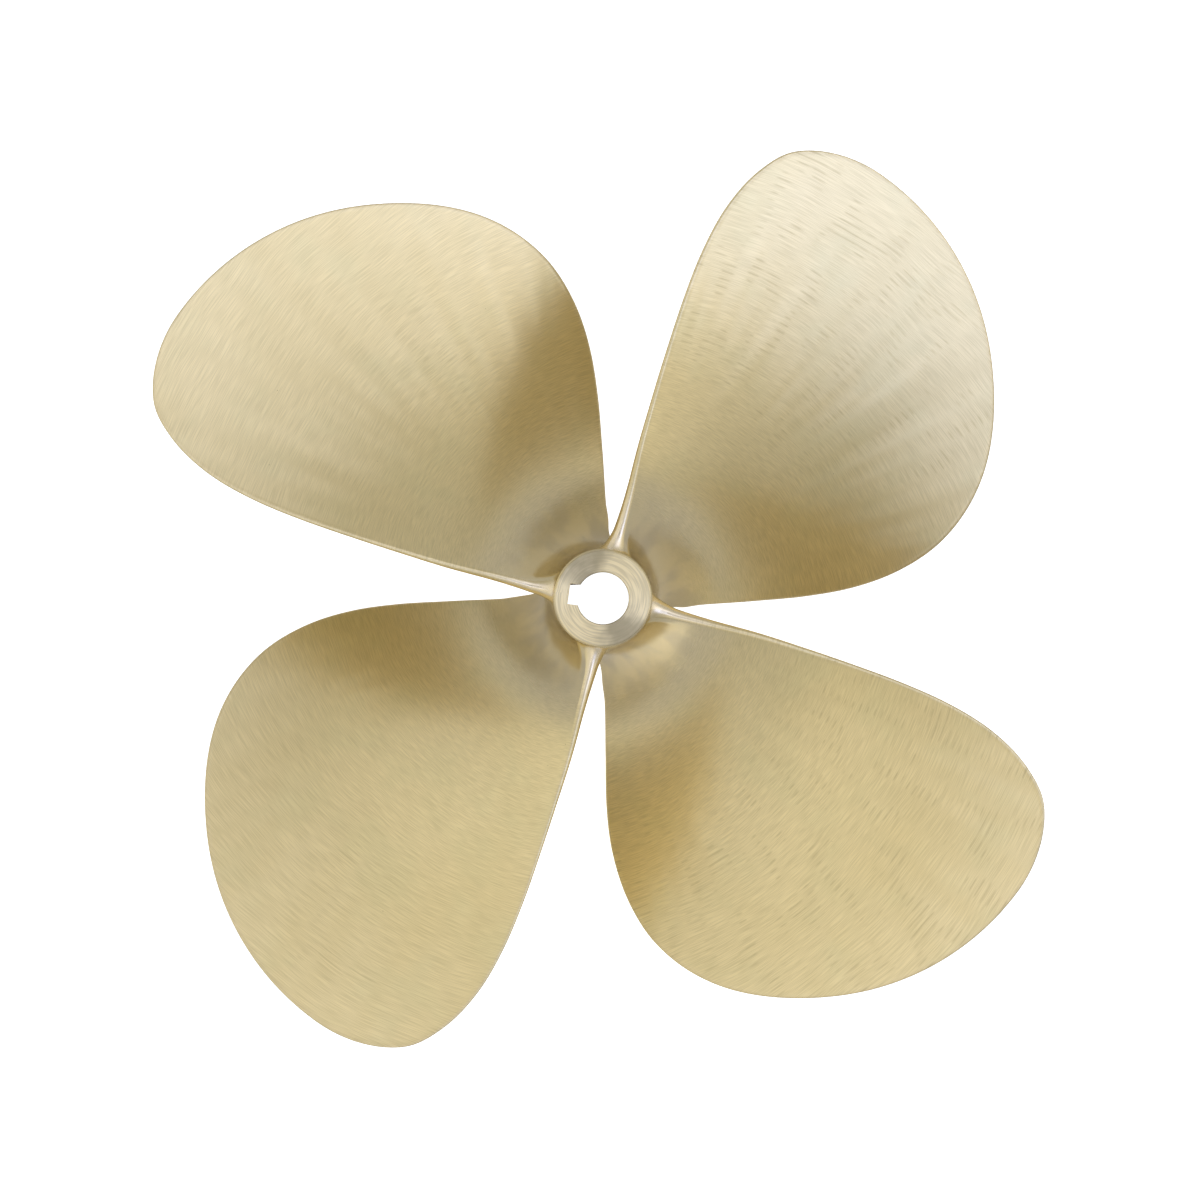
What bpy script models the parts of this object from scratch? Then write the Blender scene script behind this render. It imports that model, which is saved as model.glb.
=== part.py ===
# Four-bladed ship propeller, cast in bronze in one piece, lying on the forward end of its hub.
# Lengths are metres. +Z runs along the shaft's axis, from the forward end of the hub to the after end.
# Angles go anticlockwise from +X, seen from aft, and the keyway lies along -X.

import math

import bmesh
import bpy
from mathutils import Vector

# Wheel
DIAMETER = 0.700
TIP_RADIUS = DIAMETER / 2
PITCH = 0.600
ROOT_PITCH = 0.525
FULL_PITCH_SHARE = 0.60
TIP_ANGLE = math.radians(64)
TIP_HEIGHT = 0.104

# Blade stations from the root to the tip, as on a propeller drawing: share of the tip's radius, angle
# from the tip round to the leading edge and to the trailing edge in degrees, then the thickness in
# millimetres at the middle of the chord, at the leading edge and at the trailing edge.
STATIONS = (
    (0.08, 60.5, 20.4, 28.0, 7.0, 8.6),
    (0.14, 61.3, 20.4, 25.5, 6.0, 7.8),
    (0.20, 58.3, 20.7, 23.4, 5.2, 6.1),
    (0.30, 56.4, 20.9, 20.4, 4.0, 5.0),
    (0.40, 55.3, 20.2, 17.0, 3.4, 4.1),
    (0.50, 53.7, 19.5, 13.9, 3.0, 3.4),
    (0.60, 50.9, 18.8, 11.1, 2.7, 2.9),
    (0.70, 46.4, 17.8, 8.6, 2.5, 2.6),
    (0.80, 38.9, 16.1, 6.4, 2.4, 2.4),
    (0.90, 26.7, 13.0, 4.5, 2.3, 2.3),
    (0.96, 16.7, 9.5, 3.3, 2.2, 2.2),
    (1.00, 0.0, 0.0, 2.2, 2.2, 2.2),
)

# How grinding by hand left each blade, anticlockwise: share of the design's tip radius and of its width,
# how far its outline slides along the screw surface at the root and at the tip, then what its root gains
# at the leading edge and at the trailing edge, in degrees.
FINISH = (
    (0.998, 0.992, -0.6, 1.0, 1.3, -2.7),
    (1.003, 1.003, 0.0, 0.0, 3.4, -0.2),
    (0.995, 1.012, 0.3, -0.1, 0.1, 1.5),
    (0.993, 1.000, 0.8, -0.9, -7.9, 0.0),
)
ROOT_SHARE = 0.50

# The blades' common centre, seen from the bore's axis, as the casting was set up for turning
BLADES_CENTRE = Vector((0.0007, -0.0015, 0.0))

# Hub
HUB_LENGTH = 0.150
HUB_AFT_RADIUS = 0.0334
HUB_FORWARD_RADIUS = 0.0440
HUB_FLARE = 2.2
AFT_RIM = 0.0015
FORWARD_RIM = 0.0040
FILLET_HEIGHT = 0.0165
FILLET_REACH = 0.0056
FILLET_FOOT = 0.09
FACE_FILLET_HEIGHT = 0.026
FACE_FILLET_REACH = 0.008
FACE_FILLET_LEAD = 0.45
FACE_FILLET_TRAIL = 0.07

# Bore for the taper of a 50 mm shaft, with its keyway
BORE_AFT_RADIUS = 0.0175
BORE_TAPER = 1 / 10
BORE_AFT_CHAMFER = 0.0007
BORE_FORWARD_CHAMFER = 0.0010
KEY_WIDTH = 0.014
KEYWAY_DEPTH = 0.0056

# Fineness of the mesh
CHORD_STEPS = 15
SPAN_RINGS = 21
FILLET_RINGS = 5
HUB_SEGMENTS = 72
HUB_PROFILE_STEPS = 8
BLADE_SINK = 0.0015
CUTTER_OVERRUN = 0.006
TIP_FLAT = 0.0005

BRONZE = (0.72, 0.60, 0.36, 1.0)


def clear_scene():
    for obj in list(bpy.data.objects):
        bpy.data.objects.remove(obj)


def collection(name):
    made = bpy.data.collections.new(name)
    bpy.context.scene.collection.children.link(made)
    return made


def bronze():
    material = bpy.data.materials.new("bronze")
    material.use_nodes = True
    shader = material.node_tree.nodes["Principled BSDF"]
    shader.inputs["Base Color"].default_value = BRONZE
    shader.inputs["Metallic"].default_value = 1.0
    shader.inputs["Roughness"].default_value = 0.38
    return material


def station_at(share):
    """The station's five values at this share of the tip's radius, on a smooth curve through the table.

    The curve runs in the square root of the distance to the tip, which is how a round tip closes."""
    place = math.sqrt(max(0.0, 1 - share))
    places = [math.sqrt(1 - row[0]) for row in STATIONS]
    last = len(STATIONS) - 2
    low = next((i for i in range(last + 1) if place >= places[i + 1]), last)

    def slope(i, column):
        before, after = max(i - 1, 0), min(i + 1, len(STATIONS) - 1)
        rise = STATIONS[after][column] - STATIONS[before][column]
        return rise / (places[after] - places[before])

    width = places[low + 1] - places[low]
    t = (place - places[low]) / width
    values = []
    for column in range(1, 6):
        start, end = STATIONS[low][column], STATIONS[low + 1][column]
        values.append(
            (2 * t**3 - 3 * t**2 + 1) * start
            + (t**3 - 2 * t**2 + t) * width * slope(low, column)
            + (3 * t**2 - 2 * t**3) * end
            + (t**3 - t**2) * width * slope(low + 1, column)
        )
    lead, trail, middle, lead_edge, trail_edge = values
    return (math.radians(lead), math.radians(trail), middle / 1000, lead_edge / 1000, trail_edge / 1000)


def finished_station(radius, finish):
    """The station at this radius on a blade as its grinding left it."""
    reach, width, root_slide, tip_slide, root_lead, root_trail = finish
    share = min(radius / (TIP_RADIUS * reach), 1.0)
    lead, trail, middle, lead_edge, trail_edge = station_at(share)
    slide = math.radians(root_slide + share * (tip_slide - root_slide))
    near_root = max(0.0, 1 - share / ROOT_SHARE) ** 2
    lead = lead * width - slide + math.radians(root_lead) * near_root
    trail = trail * width + slide + math.radians(root_trail) * near_root
    return lead, trail, middle, lead_edge, trail_edge


def hub_radius(height):
    """The hub's outside: almost straight at its after end, and flared towards its forward end."""
    share = min(max(1 - height / HUB_LENGTH, 0.0), 1.0)
    return HUB_AFT_RADIUS + (HUB_FORWARD_RADIUS - HUB_AFT_RADIUS) * share**HUB_FLARE


MEAN_HUB_RADIUS = hub_radius(HUB_LENGTH / 2)


def pitch_at(radius):
    """The screw's advance in one turn at this radius: less than full from the middle of a blade inwards."""
    share, hub_share = radius / TIP_RADIUS, MEAN_HUB_RADIUS / TIP_RADIUS
    short = min(max((FULL_PITCH_SHARE - share) / (FULL_PITCH_SHARE - hub_share), 0.0), 1.0)
    return PITCH - (PITCH - ROOT_PITCH) * short**2


def eased(share):
    """A smooth step from 0 to 1."""
    share = min(max(share, 0.0), 1.0)
    return share * share * (3 - 2 * share)


def fillet_offset(above, height, reach):
    """How far a fillet of this height and reach stands out at this distance above the hub.

    At its foot it runs straight on into the hub."""
    share = min(max(above / height, FILLET_FOOT), 1.0)
    rise = math.sqrt(1 - (1 - share) ** 2)
    slope = reach / height * (1 - share) / rise
    return reach * (1 - rise) + slope * max(FILLET_FOOT * height - above, 0.0)


def section(radius, finish):
    """One blade section on the cylinder of this radius, as (along the chord, square to it) pairs.

    The face is flat, the back is a parabola and both edges are round. The loop runs along the face from
    the leading edge and comes back along the blade's back. It is grown outwards by the root fillet,
    which is fuller on the face."""
    lead, trail, middle, lead_edge, trail_edge = finished_station(radius, finish)
    helix = math.atan(pitch_at(radius) / (2 * math.pi * radius))
    chord = radius * (lead + trail) / math.cos(helix)

    def side(share):
        edge = lead_edge + share * (trail_edge - lead_edge)
        thick = edge + max(middle - edge, 0.0) * (1 - (2 * share - 1) ** 2)
        along = share * chord
        inset = min(along, chord - along, edge / 2) / (edge / 2)
        half = thick / 2 * math.sqrt(max(0.0, 1 - (1 - inset) ** 2))
        return along, -thick / 2, half

    shares = [(1 - math.cos(math.pi * i / CHORD_STEPS)) / 2 for i in range(CHORD_STEPS + 1)]
    face = [Vector((along, centre + half)) for along, centre, half in map(side, shares)]
    back = [Vector((along, centre - half)) for along, centre, half in map(side, shares[1:-1])]
    loop = face + back[::-1]
    above = radius - MEAN_HUB_RADIUS
    grown = []
    for i, point in enumerate(loop):
        grow = fillet_offset(above, FILLET_HEIGHT, FILLET_REACH)
        if i < len(face):
            fullness = eased(shares[i] / FACE_FILLET_LEAD) * eased((1 - shares[i]) / FACE_FILLET_TRAIL)
            grow += fullness * fillet_offset(above, FACE_FILLET_HEIGHT, FACE_FILLET_REACH)
        run = loop[(i + 1) % len(loop)] - loop[i - 1]
        outwards = Vector((-run.y, run.x)).normalized()
        grown.append(point + grow * outwards)
    return grown, lead, helix


def ring(radius, finish, turn):
    """A section wrapped round its cylinder. Close to the hub the ring follows the hub's side instead."""
    points, lead, helix = section(radius, finish)
    above = max(radius - MEAN_HUB_RADIUS, 0.0)
    fade = max(0.0, 1 - above / MEAN_HUB_RADIUS)
    placed = []
    for along, square in points:
        angle = TIP_ANGLE + turn - lead + (along * math.cos(helix) - square * math.sin(helix)) / radius
        height = TIP_HEIGHT - pitch_at(radius) * lead / (2 * math.pi)
        height += along * math.sin(helix) + square * math.cos(helix)
        out = radius + fade * (hub_radius(height) - MEAN_HUB_RADIUS)
        clear_of_hub = min(above / FILLET_HEIGHT, 1.0)
        placed.append(
            Vector((out * math.cos(angle), out * math.sin(angle), height)) + BLADES_CENTRE * clear_of_hub
        )
    return placed


def ring_radii(tip_radius):
    """The radius of every ring, from inside the hub to the tip."""
    radii = [MEAN_HUB_RADIUS - BLADE_SINK]
    for i in range(1, FILLET_RINGS + 1):
        turn = math.pi / 2 * i / FILLET_RINGS
        radii.append(MEAN_HUB_RADIUS + FACE_FILLET_HEIGHT * (1 - math.cos(turn)))
    root = math.sqrt(1 - radii[-1] / tip_radius)
    tip = math.sqrt(TIP_FLAT / tip_radius)
    for i in range(1, SPAN_RINGS + 1):
        place = root + (tip - root) * i / SPAN_RINGS
        radii.append(tip_radius * (1 - place**2))
    return radii


def blade_mesh(name, finish, turn):
    """A blade lofted through its rings, with a flat end inside the hub and a small one at the tip."""
    mesh = bpy.data.meshes.new(name)
    bm = bmesh.new()
    radii = ring_radii(TIP_RADIUS * finish[0])
    rings = [[bm.verts.new(point) for point in ring(radius, finish, turn)] for radius in radii]
    for inner, outer in zip(rings, rings[1:]):
        for i in range(len(inner)):
            bm.faces.new((inner[i - 1], inner[i], outer[i], outer[i - 1]))
    bm.faces.new(rings[0][::-1])
    bm.faces.new(rings[-1])
    bmesh.ops.recalc_face_normals(bm, faces=bm.faces)
    bm.to_mesh(mesh)
    bm.free()
    mesh.shade_smooth()
    return mesh


def turned(name, profile, segments):
    """A closed turned solid from (radius, height) pairs that run down its outer side."""
    mesh = bpy.data.meshes.new(name)
    bm = bmesh.new()
    points = [(0.0, profile[0][1]), *profile, (0.0, profile[-1][1])]
    verts = [bm.verts.new((radius, 0.0, height)) for radius, height in points]
    for upper, lower in zip(verts, verts[1:]):
        bm.edges.new((upper, lower))
    bm.to_mesh(mesh)
    bm.free()
    obj = bpy.data.objects.new(name, mesh)
    screw = obj.modifiers.new("turn", "SCREW")
    screw.steps = screw.render_steps = segments
    screw.use_merge_vertices = True
    screw.merge_threshold = 0.00001
    screw.use_smooth_shade = True
    return obj


def hub():
    profile = [(HUB_AFT_RADIUS - AFT_RIM, HUB_LENGTH)]
    top, bottom = HUB_LENGTH - AFT_RIM, FORWARD_RIM
    for i in range(HUB_PROFILE_STEPS + 1):
        height = top + (bottom - top) * i / HUB_PROFILE_STEPS
        profile.append((hub_radius(height), height))
    profile.append((HUB_FORWARD_RADIUS - FORWARD_RIM, 0.0))
    return turned("propeller", profile, HUB_SEGMENTS)


def bore_radius(height):
    return BORE_AFT_RADIUS + (HUB_LENGTH - height) * BORE_TAPER / 2


def bore_cutter():
    aft, forward = HUB_LENGTH, 0.0
    profile = [
        (BORE_AFT_RADIUS + BORE_AFT_CHAMFER + CUTTER_OVERRUN, aft + CUTTER_OVERRUN),
        (bore_radius(aft - BORE_AFT_CHAMFER), aft - BORE_AFT_CHAMFER),
        (bore_radius(forward + BORE_FORWARD_CHAMFER), forward + BORE_FORWARD_CHAMFER),
        (bore_radius(forward) + BORE_FORWARD_CHAMFER + CUTTER_OVERRUN, forward - CUTTER_OVERRUN),
    ]
    return turned("bore_cutter", profile, HUB_SEGMENTS)


def keyway_cutter():
    """A bar along the bore's wall on the -X side, leaning with the taper."""
    mesh = bpy.data.meshes.new("keyway_cutter")
    bm = bmesh.new()
    bmesh.ops.create_cube(bm, size=1.0)
    depth = KEYWAY_DEPTH + BORE_AFT_RADIUS / 2
    bmesh.ops.scale(bm, vec=(depth, KEY_WIDTH, HUB_LENGTH * 1.5), verts=bm.verts)
    bmesh.ops.translate(bm, vec=(depth / 2, 0.0, 0.0), verts=bm.verts)
    bm.to_mesh(mesh)
    bm.free()
    obj = bpy.data.objects.new("keyway_cutter", mesh)
    middle = HUB_LENGTH / 2
    obj.location = (-bore_radius(middle) - KEYWAY_DEPTH, 0.0, middle)
    obj.rotation_euler = (0.0, math.atan(BORE_TAPER / 2), 0.0)
    return obj


def boolean(target, tool, operation, tools):
    """Joins or cuts the target with a tool that isn't itself part of the propeller."""
    tools.objects.link(tool)
    tool.hide_render = True
    tool.display_type = "WIRE"
    modifier = target.modifiers.new(tool.name, "BOOLEAN")
    modifier.operation = operation
    modifier.object = tool
    modifier.solver = "EXACT"


def build():
    clear_scene()
    parts, tools = collection("ship propeller"), collection("tools")
    casting = hub()
    casting.data.materials.append(bronze())
    parts.objects.link(casting)
    for i, finish in enumerate(FINISH):
        name = f"blade_{i + 1}"
        blade = bpy.data.objects.new(name, blade_mesh(name, finish, 2 * math.pi * i / len(FINISH)))
        blade.data.materials.append(casting.data.materials[0])
        boolean(casting, blade, "UNION", tools)
    boolean(casting, bore_cutter(), "DIFFERENCE", tools)
    boolean(casting, keyway_cutter(), "DIFFERENCE", tools)


build()
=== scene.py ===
# Four-bladed ship propeller, cast in bronze, ground by hand and turned at the hub.
# Lengths are metres. +Z runs along the shaft's axis to the after end, which looks up at the camera.
# Angles go anticlockwise from +X, seen from aft, and the keyway lies along -X.

import math

import bpy
from mathutils import Matrix, Vector


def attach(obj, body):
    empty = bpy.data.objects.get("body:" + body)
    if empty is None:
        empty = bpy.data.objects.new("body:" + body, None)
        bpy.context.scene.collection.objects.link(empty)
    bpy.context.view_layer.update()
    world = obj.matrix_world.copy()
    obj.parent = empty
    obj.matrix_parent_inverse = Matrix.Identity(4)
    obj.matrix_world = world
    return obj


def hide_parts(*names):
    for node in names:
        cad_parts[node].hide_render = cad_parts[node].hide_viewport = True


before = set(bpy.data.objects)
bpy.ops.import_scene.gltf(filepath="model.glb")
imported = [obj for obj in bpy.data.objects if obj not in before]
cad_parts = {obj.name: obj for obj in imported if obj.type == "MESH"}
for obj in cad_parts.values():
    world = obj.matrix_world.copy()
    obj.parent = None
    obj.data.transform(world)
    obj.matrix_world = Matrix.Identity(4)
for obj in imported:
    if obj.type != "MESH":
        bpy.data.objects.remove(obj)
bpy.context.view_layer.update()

# Wheel, with the values of the CAD part
DIAMETER = 0.700
TIP_RADIUS = DIAMETER / 2
PITCH = 0.600
ROOT_PITCH = 0.525
FULL_PITCH_SHARE = 0.60
TIP_ANGLE = math.radians(64)
TIP_HEIGHT = 0.104

# Blade stations from the root to the tip: share of the tip's radius, angle from the tip round to the
# leading edge and to the trailing edge in degrees, then the thickness in millimetres at the middle of
# the chord, at the leading edge and at the trailing edge.
STATIONS = (
    (0.08, 60.5, 20.4, 28.0, 7.0, 8.6),
    (0.14, 61.3, 20.4, 25.5, 6.0, 7.8),
    (0.20, 58.3, 20.7, 23.4, 5.2, 6.1),
    (0.30, 56.4, 20.9, 20.4, 4.0, 5.0),
    (0.40, 55.3, 20.2, 17.0, 3.4, 4.1),
    (0.50, 53.7, 19.5, 13.9, 3.0, 3.4),
    (0.60, 50.9, 18.8, 11.1, 2.7, 2.9),
    (0.70, 46.4, 17.8, 8.6, 2.5, 2.6),
    (0.80, 38.9, 16.1, 6.4, 2.4, 2.4),
    (0.90, 26.7, 13.0, 4.5, 2.3, 2.3),
    (0.96, 16.7, 9.5, 3.3, 2.2, 2.2),
    (1.00, 0.0, 0.0, 2.2, 2.2, 2.2),
)

# How grinding by hand left each blade, anticlockwise: share of the design's tip radius and of its width,
# how far its outline slides along the screw surface at the root and at the tip, then what its root gains
# at the leading edge and at the trailing edge, in degrees.
FINISH = (
    (0.998, 0.992, -0.6, 1.0, 1.3, -2.7),
    (1.003, 1.003, 0.0, 0.0, 3.4, -0.2),
    (0.995, 1.012, 0.3, -0.1, 0.1, 1.5),
    (0.993, 1.000, 0.8, -0.9, -7.9, 0.0),
)
ROOT_SHARE = 0.50

# The blades' common centre, seen from the bore's axis, as the casting was set up for turning
BLADES_CENTRE = Vector((0.0007, -0.0015, 0.0))

# Hub
HUB_LENGTH = 0.150
HUB_AFT_RADIUS = 0.0334
HUB_FORWARD_RADIUS = 0.0440
HUB_FLARE = 2.2
AFT_RIM = 0.0015
FORWARD_RIM = 0.0040
FILLET_HEIGHT = 0.0165
FILLET_REACH = 0.0056
FACE_FILLET_HEIGHT = 0.026
FACE_FILLET_REACH = 0.008
FACE_FILLET_LEAD = 0.45
FACE_FILLET_TRAIL = 0.07

# Bore for the taper of a 50 mm shaft, with its keyway
BORE_AFT_RADIUS = 0.0175
BORE_TAPER = 1 / 10
BORE_AFT_CHAMFER = 0.0007
BORE_FORWARD_CHAMFER = 0.0010
KEY_WIDTH = 0.014
KEYWAY_DEPTH = 0.0056

# Fineness of the skin: points along one side of a blade section and round one half of its edge, rows
# from the hub's sector to the fillet, up the fillet and out to the tip, and points of a sector's end
# arc on one side.
SIDE_STEPS = 66
EDGE_STEPS = 5
HUB_ROWS = 8
FILLET_ROWS = 22
SPAN_ROWS = 92
ARC_STEPS = 16
FOOT_CLEARANCE = 0.0008
FOOT_EASE = 0.0040
TIP_TRIM = 0.00025
HUB_DEPTH = 0.02


def station_at(share):
    """The station's five values at this share of the tip's radius, on a smooth curve through the table.

    The curve runs in the square root of the distance to the tip, which is how a round tip closes."""
    place = math.sqrt(max(0.0, 1 - share))
    places = [math.sqrt(1 - row[0]) for row in STATIONS]
    last = len(STATIONS) - 2
    low = next((i for i in range(last + 1) if place >= places[i + 1]), last)

    def slope(i, column):
        before, after = max(i - 1, 0), min(i + 1, len(STATIONS) - 1)
        rise = STATIONS[after][column] - STATIONS[before][column]
        return rise / (places[after] - places[before])

    width = places[low + 1] - places[low]
    t = (place - places[low]) / width
    values = []
    for column in range(1, 6):
        start, end = STATIONS[low][column], STATIONS[low + 1][column]
        values.append(
            (2 * t**3 - 3 * t**2 + 1) * start
            + (t**3 - 2 * t**2 + t) * width * slope(low, column)
            + (3 * t**2 - 2 * t**3) * end
            + (t**3 - t**2) * width * slope(low + 1, column)
        )
    lead, trail, middle, lead_edge, trail_edge = values
    return (math.radians(lead), math.radians(trail), middle / 1000, lead_edge / 1000, trail_edge / 1000)


def finished_station(radius, finish):
    """The station at this radius on a blade as its grinding left it."""
    reach, width, root_slide, tip_slide, root_lead, root_trail = finish
    share = min(radius / (TIP_RADIUS * reach - TIP_TRIM), 1.0)
    lead, trail, middle, lead_edge, trail_edge = station_at(share)
    slide = math.radians(root_slide + share * (tip_slide - root_slide))
    near_root = max(0.0, 1 - share / ROOT_SHARE) ** 2
    lead = lead * width - slide + math.radians(root_lead) * near_root
    trail = trail * width + slide + math.radians(root_trail) * near_root
    return lead, trail, middle, lead_edge, trail_edge


def hub_radius(height):
    """The hub's outside: almost straight at its after end, and flared towards its forward end."""
    share = min(max(1 - height / HUB_LENGTH, 0.0), 1.0)
    return HUB_AFT_RADIUS + (HUB_FORWARD_RADIUS - HUB_AFT_RADIUS) * share**HUB_FLARE


def bore_radius(height):
    return BORE_AFT_RADIUS + (HUB_LENGTH - height) * BORE_TAPER / 2


MEAN_HUB_RADIUS = hub_radius(HUB_LENGTH / 2)


def pitch_at(radius):
    """The screw's advance in one turn at this radius: less than full from the middle of a blade inwards."""
    share, hub_share = radius / TIP_RADIUS, MEAN_HUB_RADIUS / TIP_RADIUS
    short = min(max((FULL_PITCH_SHARE - share) / (FULL_PITCH_SHARE - hub_share), 0.0), 1.0)
    return PITCH - (PITCH - ROOT_PITCH) * short**2


# Blade surface

def chord_stations(chord, lead_round, trail_round):
    """Distances along the chord, close together where the two edges are rounded."""
    squeeze = min(1.0, 0.8 * chord / (lead_round + trail_round + 1e-12))
    lead_round, trail_round = lead_round * squeeze, trail_round * squeeze
    turns = [math.pi / 2 * i / EDGE_STEPS for i in range(EDGE_STEPS + 1)]
    front = [lead_round * (1 - math.cos(turn)) for turn in turns]
    back = [chord - trail_round * (1 - math.cos(turn)) for turn in turns][::-1]
    steps = SIDE_STEPS - 2 * EDGE_STEPS
    middle = []
    for i in range(1, steps):
        even = i / steps
        share = 0.3 * even + 0.7 * (1 - math.cos(math.pi * even)) / 2
        middle.append(front[-1] + share * (back[0] - front[-1]))
    return front + middle + back


def eased(share):
    """A smooth step from 0 to 1."""
    share = min(max(share, 0.0), 1.0)
    return share * share * (3 - 2 * share)


def fillet_offset(above, height, reach):
    """How far a fillet of this height and reach stands out at this distance above the hub."""
    share = min(max(above / height, 0.0), 1.0)
    return reach * (1 - math.sqrt(1 - (1 - share) ** 2))


def section(radius, finish):
    """The blade's section on this cylinder: a loop of (along the chord, square to it) pairs.

    It runs along the flat face from the leading edge and comes back along the rounded back of the
    blade, and it is grown outwards by the root fillet, which is fuller on the face. With it go its
    points' distances from the blade's outline."""
    lead, trail, middle, lead_edge, trail_edge = finished_station(radius, finish)
    helix = math.atan(pitch_at(radius) / (2 * math.pi * radius))
    chord = max(radius * (lead + trail) / math.cos(helix), 0.0)
    reach = TIP_RADIUS * finish[0] - TIP_TRIM
    step = min(0.0005, (reach - radius) / 2)
    inner, outer = finished_station(radius - step, finish), finished_station(radius + step, finish)
    slant = [1.0, 1.0]
    if step > 0:
        for side in (0, 1):
            drift = radius * (outer[side] - inner[side]) / (2 * step)
            slant[side] = 1 / math.sqrt(1 + drift**2)
    alongs = chord_stations(chord, lead_edge / 2 / slant[0], trail_edge / 2 / slant[1])

    def side(along):
        share = along / chord if chord > 0 else 0.5
        edge = lead_edge + share * (trail_edge - lead_edge)
        thick = edge + max(middle - edge, 0.0) * (1 - (2 * share - 1) ** 2)
        depth = min(along * slant[0], (chord - along) * slant[1], reach - radius)
        inset = min(max(depth / (edge / 2), 0.0), 1.0)
        half = thick / 2 * math.sqrt(max(0.0, 1 - (1 - inset) ** 2))
        return along, -thick / 2, half, depth

    face = [Vector((along, centre + half)) for along, centre, half, _ in map(side, alongs)]
    back = [Vector((along, centre - half)) for along, centre, half, _ in map(side, alongs[1:-1])]
    loop = face + back[::-1]
    depths = [side(along)[3] for along in alongs + alongs[-2:0:-1]]
    above = radius - MEAN_HUB_RADIUS
    if above >= FACE_FILLET_HEIGHT:
        return loop, depths, lead, helix
    grown = []
    for i, point in enumerate(loop):
        grow = fillet_offset(above, FILLET_HEIGHT, FILLET_REACH)
        if i < len(face):
            share = alongs[i] / chord
            fullness = eased(share / FACE_FILLET_LEAD) * eased((1 - share) / FACE_FILLET_TRAIL)
            grow += fullness * fillet_offset(above, FACE_FILLET_HEIGHT, FACE_FILLET_REACH)
        run = loop[(i + 1) % len(loop)] - loop[i - 1]
        grown.append(point + grow * Vector((-run.y, run.x)).normalized())
    return grown, depths, lead, helix


def between_rims(height):
    """Keeps the fillet's foot on the hub's side where a blade's edge comes close to the hub's end."""
    floor, roof = FORWARD_RIM + FOOT_CLEARANCE, HUB_LENGTH - AFT_RIM - FOOT_CLEARANCE
    if height < floor + FOOT_EASE:
        t = max(0.0, (height - floor + FOOT_EASE) / (2 * FOOT_EASE))
        return floor + FOOT_EASE * t**2
    if height > roof - FOOT_EASE:
        t = max(0.0, (roof + FOOT_EASE - height) / (2 * FOOT_EASE))
        return roof - FOOT_EASE * t**2
    return height


def blade_ring(radius, finish):
    """A section wrapped round its cylinder, as (angle, radius, height, depth) of each point.

    Close to the hub the ring follows the hub's side instead. Depth is the distance from the blade's
    outline."""
    loop, depths, lead, helix = section(radius, finish)
    above = max(radius - MEAN_HUB_RADIUS, 0.0)
    fade = max(0.0, 1 - above / MEAN_HUB_RADIUS)
    placed = []
    for (along, square), depth in zip(loop, depths):
        angle = TIP_ANGLE - lead + (along * math.cos(helix) - square * math.sin(helix)) / radius
        height = TIP_HEIGHT - pitch_at(radius) * lead / (2 * math.pi)
        height += along * math.sin(helix) + square * math.cos(helix)
        if radius < MEAN_HUB_RADIUS + FILLET_HEIGHT:
            height = between_rims(height)
        out = radius + fade * (hub_radius(height) - MEAN_HUB_RADIUS)
        placed.append((angle, out, height, depth))
    return placed


def untwisted(angle, height):
    """The angle left when the root's screw is taken out."""
    return angle - 2 * math.pi * height / ROOT_PITCH


def sector_outline(middle):
    """One quarter of the hub's side round the blade, as (untwisted angle, height) of each point.

    It starts below the leading edge, goes up the side that the blade's face looks at, and comes down
    on the side of the blade's back."""
    low, high, half = FORWARD_RIM, HUB_LENGTH - AFT_RIM, math.pi / 4
    side_steps = SIDE_STEPS - 2 * ARC_STEPS
    outline = []
    for i in range(ARC_STEPS):
        outline.append((middle - half * i / ARC_STEPS, low))
    for i in range(side_steps):
        outline.append((middle - half, low + (high - low) * i / side_steps))
    for i in range(ARC_STEPS):
        outline.append((middle - half + half * i / ARC_STEPS, high))
    for i in range(ARC_STEPS):
        outline.append((middle + half * i / ARC_STEPS, high))
    for i in range(side_steps):
        outline.append((middle + half, high - (high - low) * i / side_steps))
    for i in range(ARC_STEPS):
        outline.append((middle + half - half * i / ARC_STEPS, low))
    return outline


def blade_rows(finish, middle):
    """Every row of a blade's skin, from the edge of its quarter of the hub to the tip."""
    foot = blade_ring(MEAN_HUB_RADIUS, finish)
    rows = []
    for i in range(HUB_ROWS):
        share = i / HUB_ROWS
        share = share * (1.6 - 0.6 * share)
        row = []
        for (edge_angle, edge_height), (angle, _, height, depth) in zip(sector_outline(middle), foot):
            at = edge_height + share * (height - edge_height)
            flat = edge_angle + share * (untwisted(angle, height) - edge_angle)
            twisted = flat + 2 * math.pi * at / ROOT_PITCH
            row.append((twisted, hub_radius(at), at, depth + HUB_DEPTH * (1 - share)))
        rows.append(row)
    rows.append(foot)
    for i in range(1, FILLET_ROWS + 1):
        turn = math.pi / 2 * i / FILLET_ROWS
        rows.append(blade_ring(MEAN_HUB_RADIUS + FACE_FILLET_HEIGHT * (1 - math.cos(turn)), finish))
    reach = TIP_RADIUS * finish[0] - TIP_TRIM
    root = math.sqrt(1 - (MEAN_HUB_RADIUS + FACE_FILLET_HEIGHT) / reach)
    for i in range(1, SPAN_ROWS + 1):
        place = root * (1 - i / SPAN_ROWS)
        rows.append(blade_ring(reach * (1 - place**2), finish))
    return rows


# Modelling

def deselect_all():
    if bpy.context.object is not None and bpy.context.object.mode != "OBJECT":
        bpy.ops.object.mode_set(mode="OBJECT")
    bpy.ops.object.select_all(action="DESELECT")


def make_active(obj):
    deselect_all()
    bpy.context.view_layer.objects.active = obj
    obj.select_set(True)


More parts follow.
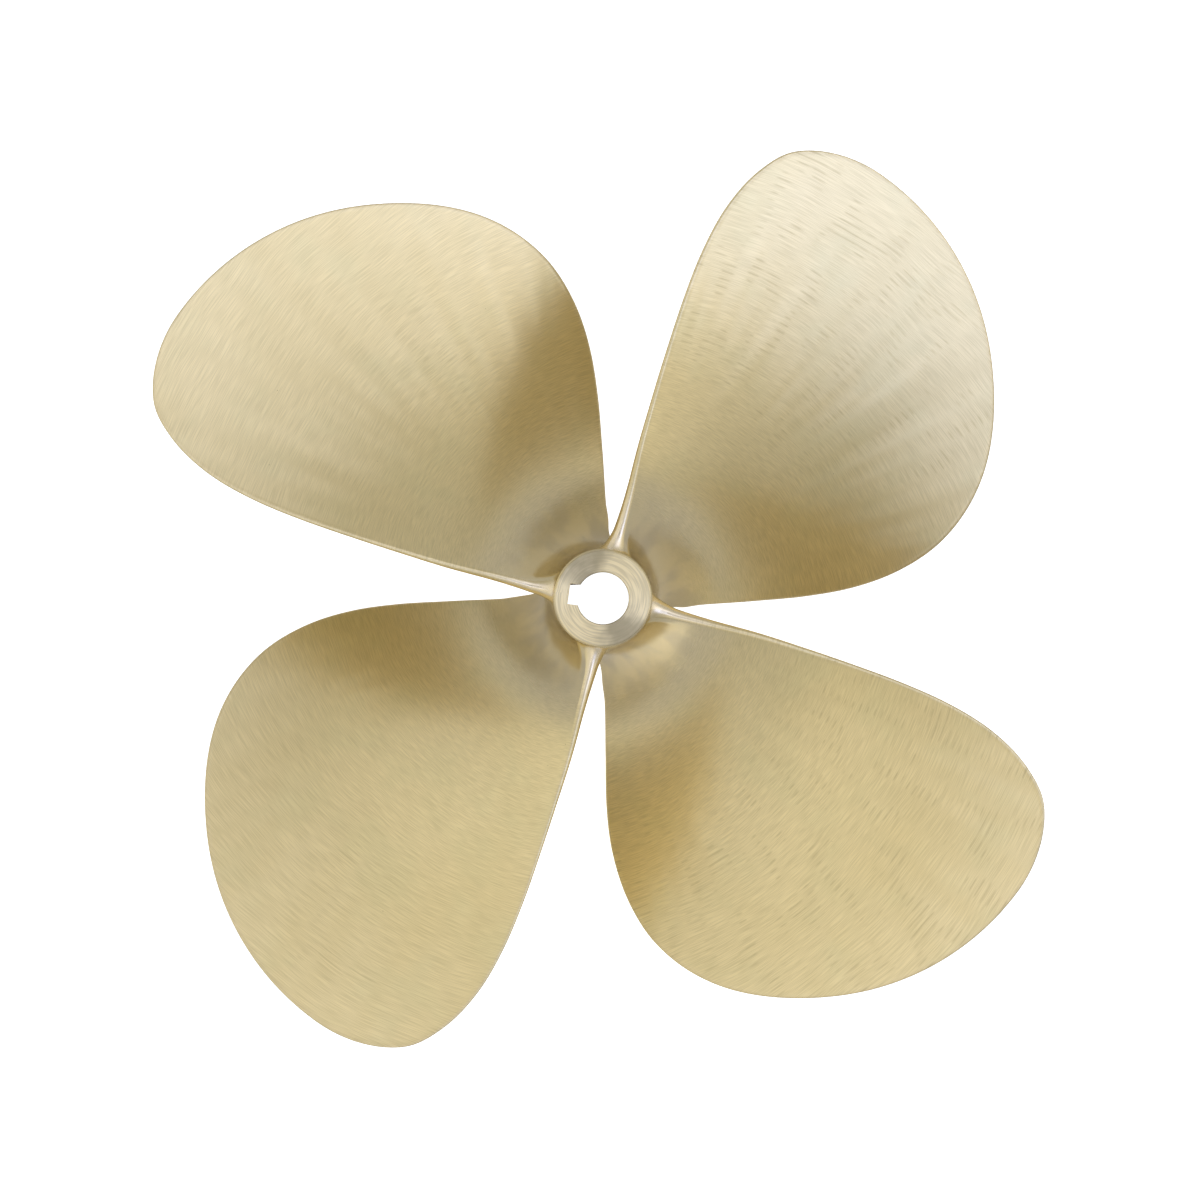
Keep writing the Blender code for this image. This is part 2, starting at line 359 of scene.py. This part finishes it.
def blade_skin(name, finish, middle, turn):
    """A blade with its quarter of the hub's side, wrapped from a flat grid."""
    rows = blade_rows(finish, middle)
    columns = 2 * SIDE_STEPS
    deselect_all()
    bpy.ops.mesh.primitive_grid_add(x_subdivisions=columns, y_subdivisions=len(rows) - 1, size=2)
    skin = bpy.context.object
    skin.name = name
    edge = skin.data.attributes.new("edge_depth", "FLOAT", "POINT")
    for vertex in skin.data.vertices:
        column = round((vertex.co.x + 1) / 2 * columns) % columns
        row = round((vertex.co.y + 1) / 2 * (len(rows) - 1))
        angle, radius, height, depth = rows[row][column]
        edge.data[vertex.index].value = depth
        clear_of_hub = min(max(radius - hub_radius(height), 0.0) / FILLET_HEIGHT, 1.0)
        vertex.co = (radius * math.cos(angle + turn), radius * math.sin(angle + turn), height)
        vertex.co += BLADES_CENTRE * clear_of_hub
    return skin


def ring_select(obj, height, radius):
    """Selects, in edit mode, the open edge loop round the hub at this height and radius."""
    bpy.ops.mesh.select_all(action="DESELECT")
    bpy.ops.object.mode_set(mode="OBJECT")
    for vertex in obj.data.vertices:
        near = abs(vertex.co.z - height) < 1e-5 and abs(vertex.co.xy.length - radius) < 1e-5
        vertex.select = near
    bpy.ops.object.mode_set(mode="EDIT")
    bpy.ops.mesh.select_mode(type="VERT")


def draw_ring(scale, rise):
    """Extrudes the selected ring to a new radius and height."""
    bpy.ops.mesh.extrude_edges_move()
    bpy.ops.transform.resize(value=(scale, scale, 1.0), center_override=(0.0, 0.0, 0.0))
    bpy.ops.transform.translate(value=(0.0, 0.0, rise))


def casting():
    """The four blades joined round the hub, with its turned ends and its bore."""
    foot = blade_ring(MEAN_HUB_RADIUS, FINISH[1])
    flat = [untwisted(angle, height) for angle, _, height, _ in foot]
    middle = (min(flat) + max(flat)) / 2
    quarters = []
    for i, finish in enumerate(FINISH):
        quarters.append(blade_skin(f"blade_{i + 1}", finish, middle, 2 * math.pi * i / len(FINISH)))
    deselect_all()
    for quarter in quarters:
        quarter.select_set(True)
    bpy.context.view_layer.objects.active = quarters[0]
    bpy.ops.object.join()
    wheel = bpy.context.object
    wheel.name = "propeller_casting"
    bpy.ops.object.mode_set(mode="EDIT")
    bpy.ops.mesh.select_mode(type="VERT")
    bpy.ops.mesh.select_all(action="SELECT")
    bpy.ops.mesh.remove_doubles(threshold=1e-6)

    aft_profile = (
        (HUB_AFT_RADIUS - AFT_RIM * 0.7, HUB_LENGTH - AFT_RIM * 0.3),
        (HUB_AFT_RADIUS - AFT_RIM, HUB_LENGTH),
        (BORE_AFT_RADIUS + BORE_AFT_CHAMFER, HUB_LENGTH),
        (bore_radius(HUB_LENGTH - BORE_AFT_CHAMFER), HUB_LENGTH - BORE_AFT_CHAMFER),
    )
    forward_profile = (
        (HUB_FORWARD_RADIUS - FORWARD_RIM * 0.3, FORWARD_RIM * 0.3),
        (HUB_FORWARD_RADIUS - FORWARD_RIM, 0.0),
        (bore_radius(0.0) + BORE_FORWARD_CHAMFER, 0.0),
        (bore_radius(BORE_FORWARD_CHAMFER), BORE_FORWARD_CHAMFER),
    )
    for height, profile in ((HUB_LENGTH - AFT_RIM, aft_profile), (FORWARD_RIM, forward_profile)):
        radius = hub_radius(height)
        ring_select(wheel, height, radius)
        for next_radius, next_height in profile:
            draw_ring(next_radius / radius, next_height - height)
            radius, height = next_radius, next_height
    bpy.ops.mesh.select_all(action="DESELECT")
    bpy.ops.mesh.select_mode(type="EDGE")
    bpy.ops.mesh.select_non_manifold()
    bpy.ops.mesh.bridge_edge_loops()
    bpy.ops.mesh.select_all(action="SELECT")
    bpy.ops.mesh.normals_make_consistent(inside=False)
    bpy.ops.object.mode_set(mode="OBJECT")
    return wheel


def cut_keyway(wheel):
    """A bar along the bore's wall on the -X side, leaning with the taper, taken out of the hub."""
    deselect_all()
    depth = KEYWAY_DEPTH + BORE_AFT_RADIUS / 2
    middle = HUB_LENGTH / 2
    bpy.ops.mesh.primitive_cube_add(size=1)
    bar = bpy.context.object
    bar.scale = (depth, KEY_WIDTH, HUB_LENGTH * 1.5)
    bar.rotation_euler = (0.0, math.atan(BORE_TAPER / 2), 0.0)
    bar.location = Vector((-bore_radius(middle) - KEYWAY_DEPTH, 0.0, middle))
    bar.location += Matrix.Rotation(math.atan(BORE_TAPER / 2), 3, "Y") @ Vector((depth / 2, 0.0, 0.0))
    bpy.context.view_layer.update()
    make_active(wheel)
    cut = wheel.modifiers.new("keyway", "BOOLEAN")
    cut.operation = "DIFFERENCE"
    cut.solver = "EXACT"
    cut.object = bar
    bpy.ops.object.modifier_apply(modifier=cut.name)
    bpy.data.objects.remove(bar)


# Finishes

BRONZE = (0.84, 0.70, 0.385, 1.0)
BRONZE_TINTS = ((0.97, 0.96, 0.93, 1.0), (1.03, 1.03, 1.04, 1.0))
OLIVE_BRONZE = (0.74, 0.66, 0.36, 1.0)
# Painted shade: a darker bronze laid over the blades towards the hub
ROOT_SHADE_BRONZE = (0.66, 0.54, 0.27, 1.0)
# Darker tone at the blade roots: partly stain in patches, partly painted shade that darkens every root next
# to the hub
ROOT_STAIN_AND_SHADE = (0.46, 0.39, 0.26, 1.0)
POLISHED_BRONZE = (0.92, 0.79, 0.57, 1.0)
STROKE_DIRT = (0.50, 0.42, 0.22, 1.0)
PIT_DIRT = (0.10, 0.08, 0.05, 1.0)
TURNED_BRONZE = (0.98, 0.83, 0.50, 1.0)
# Dark tone of the after face's turned rings, also used for its painted shade
FACE_DIRT_AND_SHADE = (0.43, 0.36, 0.21, 1.0)

# Each area's bounds, from where it has faded out to where it is full: distances from the shaft's axis,
# then the edges' distance from the blade's outline, and the hub's after face by height and by radius
BLADE_AREA = (0.045, 0.078)
ROOT_AREA = (0.095, 0.045)
ROOT_SHADE_AREA = (0.125, 0.080)
CHATTER_AREA = (0.10, 0.18)
LANE_AREA = (0.09, 0.20)
PIT_AREA = (0.04, 0.06)
EDGE_AREA = (0.0040, 0.0010)
FACE_HEIGHTS = (HUB_LENGTH - 0.0009, HUB_LENGTH - 0.0004)
FACE_RADII = (HUB_AFT_RADIUS - 0.0003, HUB_AFT_RADIUS - 0.0009)

# The disc's strokes: metres across one, radians along it, and the noise at which one starts to show and
# at which it shows in full. Chatter marks have a spacing and a reach in metres.
FINE_STROKE = {"Width": 0.00048, "Sweep": 0.07, "Low": 0.38, "High": 0.62}
COARSE_STROKE = {"Width": 0.0022, "Sweep": 0.13, "Low": 0.48, "High": 0.74}
CHATTER_MARK = {
    "Spacing": 0.0064,
    "Sharpness": 7.0,
    "Sweep": 0.055,
    "Reach": 0.035,
    "Low": 0.51,
    "High": 0.72,
}

# The strokes' way: the gap before the first blade, their slope at a blade's leading edge, how much of it
# is gone a radian on, and how far they waver
GAP_BEARING = math.radians(1.6)
STROKE_LEAN = 0.30
STROKE_LEAN_FALL = 0.20
WAVER = 0.012

# Where the disc chattered least and by how much, and the bearing of the painted shade on the after face,
# which stands in for the dark lobes of its turned rings' reflection
QUIET_BEARING = math.radians(128)
QUIET_SHARE = 0.07
FACE_SHADE_BEARING = math.radians(130)

# Pits in the casting's skin: metres from one to the next, metres across half of one, and how many there are
PIT = {"Spacing": 0.012, "Size": 0.0005, "Share": 0.3}

# Grains a metre of each noise. Those that go round the shaft have grains a metre outwards and a radian
# round.
WAVER_GRAIN = 12.0
CHATTER_GRAIN = 5.0
MOTTLE_GRAIN = 9.0
OLIVE_GRAIN = 26.0
STAIN_GRAIN = 38.0
DENT_GRAIN = 55.0
FACE_SHADE_GRAIN = 80.0
EDGE_GRAIN = 210.0
LANE_GRAINS = (7.0, 10.0)
RING_GRAINS = (900.0, 1.2)

# Relief in metres
HAIR_DEPTH = 0.000005
CHATTER_DEPTH = 0.000008
LANE_RISE = 0.00036
DENT_RISE = 0.00035
EDGE_RISE = 0.00016
RING_RISE = 0.000024


def new_group(name, inputs, outputs):
    """An empty shader node group with named number sockets."""
    group = bpy.data.node_groups.new(name, "ShaderNodeTree")
    for label, value in inputs.items():
        socket = group.interface.new_socket(label, in_out="INPUT", socket_type="NodeSocketFloat")
        socket.default_value = value
    for label in outputs:
        group.interface.new_socket(label, in_out="OUTPUT", socket_type="NodeSocketFloat")
    return group, group.nodes.new("NodeGroupInput"), group.nodes.new("NodeGroupOutput")


def node(tree, kind, values=None, **settings):
    """A node with its settings, and with plain values or links on its inputs."""
    made = tree.nodes.new(kind)
    for key, value in settings.items():
        setattr(made, key, value)
    for key, value in (values or {}).items():
        if isinstance(value, bpy.types.NodeSocket):
            tree.links.new(value, made.inputs[key])
        else:
            made.inputs[key].default_value = value
    return made


def maths(tree, operation, first, second=0.0, third=0.0):
    return node(tree, "ShaderNodeMath", {0: first, 1: second, 2: third}, operation=operation).outputs[0]


def times(tree, first, second):
    return maths(tree, "MULTIPLY", first, second)


def plus(tree, value, gain, rest):
    """The value times its gain, added to the rest."""
    return maths(tree, "MULTIPLY_ADD", value, gain, rest)


def ramp(tree, value, start, end, low=0.0, high=1.0):
    """A smooth step of the value from low to high between start and end."""
    values = {"Value": value, "From Min": start, "From Max": end, "To Min": low, "To Max": high}
    return node(tree, "ShaderNodeMapRange", values, interpolation_type="SMOOTHSTEP").outputs[0]


def mix_colour(tree, share, first, second, blend="MIX"):
    """The first colour with this share of the second mixed in."""
    made = node(tree, "ShaderNodeMix", data_type="RGBA", blend_type=blend)
    for index, value in ((0, share), (6, first), (7, second)):
        if isinstance(value, bpy.types.NodeSocket):
            tree.links.new(value, made.inputs[index])
        else:
            made.inputs[index].default_value = value
    return made.outputs[2]


def part_place(tree):
    return node(tree, "ShaderNodeTexCoord").outputs["Object"]


def noise(tree, grain, detail=1.0):
    """Noise through the part, with this many grains a metre."""
    values = {"Vector": part_place(tree), "Scale": grain, "Detail": detail}
    return node(tree, "ShaderNodeTexNoise", values).outputs[0]


def flat_noise(tree, across, along):
    """Noise over a pattern's own two directions."""
    spread = node(tree, "ShaderNodeCombineXYZ", {"X": across, "Y": along})
    values = {"Vector": spread.outputs[0], "Scale": 1.0, "Detail": 1.0}
    return node(tree, "ShaderNodeTexNoise", values, noise_dimensions="2D").outputs[0]


def polar_group():
    """Distance from the shaft's axis and angle round it, for every pattern that follows the turning."""
    group, _, result = new_group("round the shaft", {}, ("Radius", "Angle"))
    axes = node(group, "ShaderNodeSeparateXYZ", {"Vector": part_place(group)})
    flat = node(group, "ShaderNodeCombineXYZ", {"X": axes.outputs["X"], "Y": axes.outputs["Y"]})
    radius = node(group, "ShaderNodeVectorMath", {0: flat.outputs[0]}, operation="LENGTH")
    angle = maths(group, "ARCTAN2", axes.outputs["Y"], axes.outputs["X"])
    group.links.new(radius.outputs["Value"], result.inputs["Radius"])
    group.links.new(angle, result.inputs["Angle"])
    return group


def disc_path_group(polar):
    """Where a place lies across and along the disc's strokes.

    The strokes run round each blade, and lean outwards most at its leading edge."""
    group, _, result = new_group("along the disc's path", {}, ("Across", "Angle"))
    spot = node(group, "ShaderNodeGroup", node_tree=polar)
    waver = times(group, maths(group, "SUBTRACT", noise(group, WAVER_GRAIN), 0.5), WAVER)
    from_gap = maths(group, "SUBTRACT", spot.outputs["Angle"], GAP_BEARING)
    on_blade = maths(group, "WRAP", from_gap, math.pi / 2, 0.0)
    lean = plus(group, on_blade, -STROKE_LEAN_FALL / 2, STROKE_LEAN)
    shift = plus(group, lean, on_blade, 1.0)
    across = plus(group, spot.outputs["Radius"], shift, waver)
    group.links.new(across, result.inputs["Across"])
    group.links.new(spot.outputs["Angle"], result.inputs["Angle"])
    return group


def stroke_group(path):
    """Hairlines of a grinding disc: Width is in metres across one, Sweep in radians along it."""
    group, given, result = new_group("grinding strokes", FINE_STROKE, ("Stroke",))
    spot = node(group, "ShaderNodeGroup", node_tree=path)
    across = maths(group, "DIVIDE", spot.outputs["Across"], given.outputs["Width"])
    along = maths(group, "DIVIDE", spot.outputs["Angle"], given.outputs["Sweep"])
    stroke = ramp(group, flat_noise(group, across, along), given.outputs["Low"], given.outputs["High"])
    group.links.new(stroke, result.inputs["Stroke"])
    return group


def chatter_group(path):
    """Evenly spaced short marks that the disc leaves where it chatters, in rows that run out on a blade."""
    group, given, result = new_group("disc chatter", CHATTER_MARK, ("Mark",))
    spot = node(group, "ShaderNodeGroup", node_tree=path)
    steps = maths(group, "DIVIDE", spot.outputs["Across"], given.outputs["Spacing"])
    wave = maths(group, "SINE", times(group, steps, 2 * math.pi))
    beat = maths(group, "POWER", plus(group, wave, 0.5, 0.5), given.outputs["Sharpness"])
    along = maths(group, "DIVIDE", spot.outputs["Angle"], given.outputs["Sweep"])
    outwards = maths(group, "DIVIDE", spot.outputs["Across"], given.outputs["Reach"])
    row = flat_noise(group, outwards, along)
    dash = ramp(group, row, given.outputs["Low"], given.outputs["High"])
    group.links.new(times(group, beat, dash), result.inputs["Mark"])
    return group


def pit_group():
    """Small round pits, far apart, that the casting's skin leaves: Size and Spacing are in metres."""
    group, given, result = new_group("casting pits", PIT, ("Pit",))
    scale = maths(group, "DIVIDE", 1.0, given.outputs["Spacing"])
    cells = node(group, "ShaderNodeTexVoronoi", {"Vector": part_place(group), "Scale": scale})
    reach = maths(group, "DIVIDE", given.outputs["Size"], given.outputs["Spacing"])
    near = maths(group, "SUBTRACT", 1.0, ramp(group, cells.outputs["Distance"], 0.0, reach))
    chance = node(group, "ShaderNodeSeparateXYZ", {"Vector": cells.outputs["Color"]}).outputs["X"]
    chosen = maths(group, "LESS_THAN", chance, given.outputs["Share"])
    group.links.new(times(group, near, chosen), result.inputs["Pit"])
    return group


def finish_areas(tree, radius):
    """How far a place belongs to a blade, a root, an edge and the hub's after face, from 0 to 1."""
    height = node(tree, "ShaderNodeSeparateXYZ", {"Vector": part_place(tree)}).outputs["Z"]
    edge_depth = node(tree, "ShaderNodeAttribute", attribute_name="edge_depth").outputs["Fac"]
    return {
        "blade": ramp(tree, radius, *BLADE_AREA),
        "root": ramp(tree, radius, *ROOT_AREA),
        "edge": ramp(tree, edge_depth, *EDGE_AREA),
        "face": times(tree, ramp(tree, height, *FACE_HEIGHTS), ramp(tree, radius, *FACE_RADII)),
    }


def finish_marks(tree, polar, radius, angle):
    """The marks of the disc, the casting and the lathe, with the two noises that finishes share."""
    path = disc_path_group(polar)
    strokes, chatter, pits = stroke_group(path), chatter_group(path), pit_group()
    quiet = maths(tree, "COSINE", maths(tree, "SUBTRACT", angle, QUIET_BEARING))
    patchy = plus(tree, quiet, -QUIET_SHARE, noise(tree, CHATTER_GRAIN, 0.0))
    chatter_area = times(tree, ramp(tree, patchy, 0.42, 0.64), ramp(tree, radius, *CHATTER_AREA))
    chatter_mark = node(tree, "ShaderNodeGroup", CHATTER_MARK, node_tree=chatter).outputs["Mark"]
    pit = node(tree, "ShaderNodeGroup", PIT, node_tree=pits).outputs["Pit"]
    lanes = flat_noise(tree, times(tree, radius, LANE_GRAINS[0]), times(tree, angle, LANE_GRAINS[1]))
    rings = flat_noise(tree, times(tree, radius, RING_GRAINS[0]), times(tree, angle, RING_GRAINS[1]))
    # Painted shade on the after face: two dark lobes at opposite bearings, broken up by noise, stand in for
    # the bow-tie reflection of its turned rings
    lobes = maths(tree, "COSINE", plus(tree, angle, 2.0, -2 * FACE_SHADE_BEARING))
    face_shade_lobes = ramp(tree, plus(tree, noise(tree, FACE_SHADE_GRAIN, 2.0), 1.9, lobes), 0.8, 2.1)
    return {
        "hair": node(tree, "ShaderNodeGroup", FINE_STROKE, node_tree=strokes).outputs["Stroke"],
        "bundle": node(tree, "ShaderNodeGroup", COARSE_STROKE, node_tree=strokes).outputs["Stroke"],
        "chatter": times(tree, chatter_mark, chatter_area),
        "pit": times(tree, pit, ramp(tree, radius, *PIT_AREA)),
        "lanes": times(tree, lanes, ramp(tree, radius, *LANE_AREA)),
        "rings": rings,
        "face_shade": times(tree, face_shade_lobes, 0.80),
        "mottle": noise(tree, MOTTLE_GRAIN, 2.0),
        "grain": noise(tree, EDGE_GRAIN),
    }


def bronze_colour(tree, area, mark, radius):
    """The metal's colour, laid on in coats, each with the share of it that a place has. Some coats are
    painted shade: towards the hub, at the blade roots and on the after face.
    """
    tint = mix_colour(tree, ramp(tree, mark["mottle"], 0.35, 0.65), *BRONZE_TINTS)
    olive = ramp(tree, noise(tree, OLIVE_GRAIN, 2.0), 0.45, 0.75)
    # Painted shade and stain at the roots: a share of 0.2 all over the root, more where the noise is high
    stain_and_shade = plus(tree, ramp(tree, noise(tree, STAIN_GRAIN, 2.0), 0.40, 0.66), 0.42, 0.20)
    inside_edge = maths(tree, "SUBTRACT", 1.0, area["edge"])
    # The after face: turned bronze with painted shade in two lobes, then its darker turned rings
    face = mix_colour(tree, mark["face_shade"], TURNED_BRONZE, FACE_DIRT_AND_SHADE)
    face = mix_colour(tree, times(tree, ramp(tree, mark["rings"], 0.35, 0.65), 0.36), face, FACE_DIRT_AND_SHADE)
    coats = (
        (times(tree, olive, 0.35), OLIVE_BRONZE),
        # Painted shade, darker towards the hub
        (times(tree, ramp(tree, radius, *ROOT_SHADE_AREA), 0.35), ROOT_SHADE_BRONZE),
        (times(tree, times(tree, stain_and_shade, area["root"]), inside_edge), ROOT_STAIN_AND_SHADE),
        (times(tree, area["edge"], plus(tree, area["root"], 0.6, 0.1)), POLISHED_BRONZE),
        (times(tree, mark["hair"], plus(tree, area["blade"], 0.28, 0.06)), STROKE_DIRT),
        (times(tree, times(tree, mark["bundle"], area["blade"]), 0.10), STROKE_DIRT),
        (times(tree, mark["chatter"], 0.38), STROKE_DIRT),
        (times(tree, mark["pit"], 0.7), PIT_DIRT),
        (area["face"], face),
    )
    metal = mix_colour(tree, 1.0, BRONZE, tint, "MULTIPLY")
    for share, coat in coats:
        metal = mix_colour(tree, share, metal, coat)
    return metal


def bronze_roughness(tree, area, mark):
    """The metal's roughness: satin on the blades, glossier at the roots and dull on the after face."""
    gains = (
        (mark["mottle"], 0.08),
        (mark["chatter"], 0.06),
        (area["blade"], 0.04),
        (area["face"], 0.20),
        (area["root"], -0.08),
        (times(tree, area["edge"], mark["grain"]), 0.16),
    )
    roughness = 0.23
    for value, gain in gains:
        roughness = plus(tree, value, gain, roughness)
    return roughness


def bronze_relief(tree, area, mark):
    """The height in metres of everything too fine for the mesh."""
    rises = (
        (times(tree, mark["hair"], area["blade"]), -HAIR_DEPTH),
        (mark["chatter"], -CHATTER_DEPTH),
        (mark["lanes"], LANE_RISE),
        (times(tree, noise(tree, DENT_GRAIN), area["root"]), DENT_RISE),
        (times(tree, mark["grain"], area["edge"]), EDGE_RISE),
        (times(tree, mark["rings"], area["face"]), RING_RISE),
    )
    height = 0.0
    for value, rise in rises:
        height = plus(tree, value, rise, height)
    return height


def bronze_material():
    """Ground bronze, brushed round the shaft by the grinding disc."""
    material = bpy.data.materials.new("ground bronze")
    material.use_nodes = True
    tree = material.node_tree
    shader = tree.nodes["Principled BSDF"]
    shader.inputs["Metallic"].default_value = 1.0
    shader.inputs["Anisotropic"].default_value = 0.85
    shader.inputs["Anisotropic Rotation"].default_value = 0.25
    polar = polar_group()
    spot = node(tree, "ShaderNodeGroup", node_tree=polar)
    radius, angle = spot.outputs["Radius"], spot.outputs["Angle"]
    area = finish_areas(tree, radius)
    mark = finish_marks(tree, polar, radius, angle)
    relief = bronze_relief(tree, area, mark)
    bump = node(tree, "ShaderNodeBump", {"Height": relief, "Distance": 1.0, "Strength": 1.0})
    tangent = node(tree, "ShaderNodeTangent", direction_type="RADIAL", axis="Z")
    tree.links.new(bronze_colour(tree, area, mark, radius), shader.inputs["Base Color"])
    tree.links.new(bronze_roughness(tree, area, mark), shader.inputs["Roughness"])
    tree.links.new(bump.outputs[0], shader.inputs["Normal"])
    tree.links.new(tangent.outputs[0], shader.inputs["Tangent"])
    return material


# Studio

# The camera's tilt is its lean from the shaft's axis towards the right and towards the top of the
# picture, and its slide brings the hub to its place there.
CAMERA_DISTANCE = 4.0
CAMERA_TARGET = Vector((0.0, 0.0, 0.100))
CAMERA_TURN = math.radians(8)
CAMERA_TILT = (math.radians(0.7), math.radians(0.4))
FRAME_PIXELS = 1200
WHEEL_PIXELS = 1021.88
PIXELS_PER_METRE = WHEEL_PIXELS / DIAMETER
SLIDE_PIXELS = (1.87, 1.17)
SENSOR = 36.0

# The dome's glow, how much of it goes from this bearing to the opposite one, and how much more the left
# and right of the picture get than its top and bottom
DOME = 0.70
DOME_TILT = 0.08
DOME_TILT_BEARING = 5
DOME_SIDES = 0.18

# Lights and flags as degrees of bearing in the picture, of lean from straight up, to the edge of the
# even part and to the end of the soft part. A light's glow is added to the dome, and a flag takes away
# its share of the light behind it.
LIGHTS = (
    (5, 14, 5, 53, (0.72, 0.80, 1.22)),
    (-36, 26, 4, 30, (0.05, 0.18, 0.75)),
    (254, 42, 6, 32, (0.26, 0.24, 0.19)),
    (4, 68, 6, 32, (0.20, 0.18, 0.15)),
    (142, 40, 6, 30, (0.10, 0.09, 0.07)),
)
FLAGS = (
    (-76, 42, 4, 24, 0.34),
    (-44, 66, 6, 32, 0.24),
    (104, 35, 6, 22, 0.26),
    (60, 44, 4, 20, 0.10),
)

# The dim place in the dome where the camera stands
CAMERA_GAP = (0, 0, 6, 26)
CAMERA_SHADE = (0.42, 0.42, 0.42, 1.0)

# The floor's tone, the glow that the camera alone sees, and light spilt on it below the wheel: place,
# reach and glow
FLOOR_SIZE = 30.0
FLOOR_TONE = (0.72, 0.72, 0.72, 1.0)
FLOOR_SEEN_GLOW = 0.95
FLOOR_SPILLS = (
    (0.03, -0.24, 0.24, 0.5),
    (0.0, 0.0, 0.45, 0.22),
)


def studio_floor():
    deselect_all()
    bpy.ops.mesh.primitive_plane_add(size=FLOOR_SIZE)
    floor = bpy.context.object
    floor.name = "studio_floor"
    paint = bpy.data.materials.new("white floor")
    paint.use_nodes = True
    tree = paint.node_tree
    shader = tree.nodes["Principled BSDF"]
    shader.inputs["Base Color"].default_value = FLOOR_TONE
    shader.inputs["Roughness"].default_value = 0.9
    shader.inputs["Specular IOR Level"].default_value = 0.1
    shader.inputs["Emission Color"].default_value = (1.0, 1.0, 1.0, 1.0)
    seen = node(tree, "ShaderNodeLightPath").outputs["Is Camera Ray"]
    glow = times(tree, seen, FLOOR_SEEN_GLOW)
    for x, y, reach, spill in FLOOR_SPILLS:
        ends = {0: part_place(tree), 1: (x, y, 0.0)}
        away = node(tree, "ShaderNodeVectorMath", ends, operation="DISTANCE").outputs["Value"]
        glow = maths(tree, "ADD", glow, ramp(tree, away, reach, 0.0, 0.0, spill))
    tree.links.new(glow, shader.inputs["Emission Strength"])
    floor.data.materials.append(paint)


def studio_camera():
    right = Vector((math.cos(CAMERA_TURN), math.sin(CAMERA_TURN), 0.0))
    up = Vector((-math.sin(CAMERA_TURN), math.cos(CAMERA_TURN), 0.0))
    back = Vector((0.0, 0.0, 1.0)) - right * math.tan(CAMERA_TILT[0]) - up * math.tan(CAMERA_TILT[1])
    back.normalize()
    right = up.cross(back).normalized()
    up = back.cross(right)
    slide = right * SLIDE_PIXELS[0] / PIXELS_PER_METRE + up * SLIDE_PIXELS[1] / PIXELS_PER_METRE
    data = bpy.data.cameras.new("camera")
    data.sensor_width = SENSOR
    data.lens = PIXELS_PER_METRE * CAMERA_DISTANCE * SENSOR / FRAME_PIXELS
    camera = bpy.data.objects.new("camera", data)
    turn = Matrix((right, up, back)).transposed().to_4x4()
    camera.matrix_world = Matrix.Translation(CAMERA_TARGET + back * CAMERA_DISTANCE - slide) @ turn
    bpy.context.scene.collection.objects.link(camera)
    bpy.context.scene.camera = camera


def heading(bearing, lean):
    """The direction that leans away from straight up towards this bearing in the picture, in degrees."""
    turn, lean = CAMERA_TURN + math.radians(bearing), math.radians(lean)
    return (math.sin(lean) * math.cos(turn), math.sin(lean) * math.sin(turn), math.cos(lean))


def studio_light():
    """A pale dome, brighter to the left and right of the wheel, with soft lights and flags in it."""
    world = bpy.data.worlds.new("studio")
    world.use_nodes = True
    tree = world.node_tree
    way = node(tree, "ShaderNodeTexCoord").outputs["Generated"]

    def towards(bearing, lean):
        pair = {0: way, 1: heading(bearing, lean)}
        return node(tree, "ShaderNodeVectorMath", pair, operation="DOT_PRODUCT").outputs["Value"]

    def pool(bearing, lean, core, edge, full=1.0):
        start, end = math.cos(math.radians(edge)), math.cos(math.radians(core))
        return ramp(tree, towards(bearing, lean), start, end, 0.0, full)

    sides = times(tree, towards(45, 90), towards(-45, 90))
    colour = plus(tree, sides, 2 * DOME_SIDES, DOME)
    colour = plus(tree, towards(DOME_TILT_BEARING, 90), -DOME_TILT, colour)
    for bearing, lean, core, edge, glow in LIGHTS:
        colour = mix_colour(tree, pool(bearing, lean, core, edge), colour, (*glow, 1.0), "ADD")
    for bearing, lean, core, edge, shade in FLAGS:
        colour = mix_colour(tree, pool(bearing, lean, core, edge, shade), colour, (0.0, 0.0, 0.0, 1.0))
    colour = mix_colour(tree, pool(*CAMERA_GAP), colour, CAMERA_SHADE)
    tree.links.new(colour, tree.nodes["Background"].inputs["Color"])
    bpy.context.scene.world = world

    # The dome is soft all over, so rays that leave the wheel find it by themselves, in half the time
    world.cycles.sampling_method = "NONE"
    bpy.context.scene.view_settings.view_transform = "Standard"


wheel = casting()
cut_keyway(wheel)
make_active(wheel)
bpy.ops.object.shade_smooth_by_angle(angle=math.radians(35))
wheel.data.materials.append(bronze_material())
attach(wheel, "root")
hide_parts("propeller")
studio_floor()
studio_camera()
studio_light()
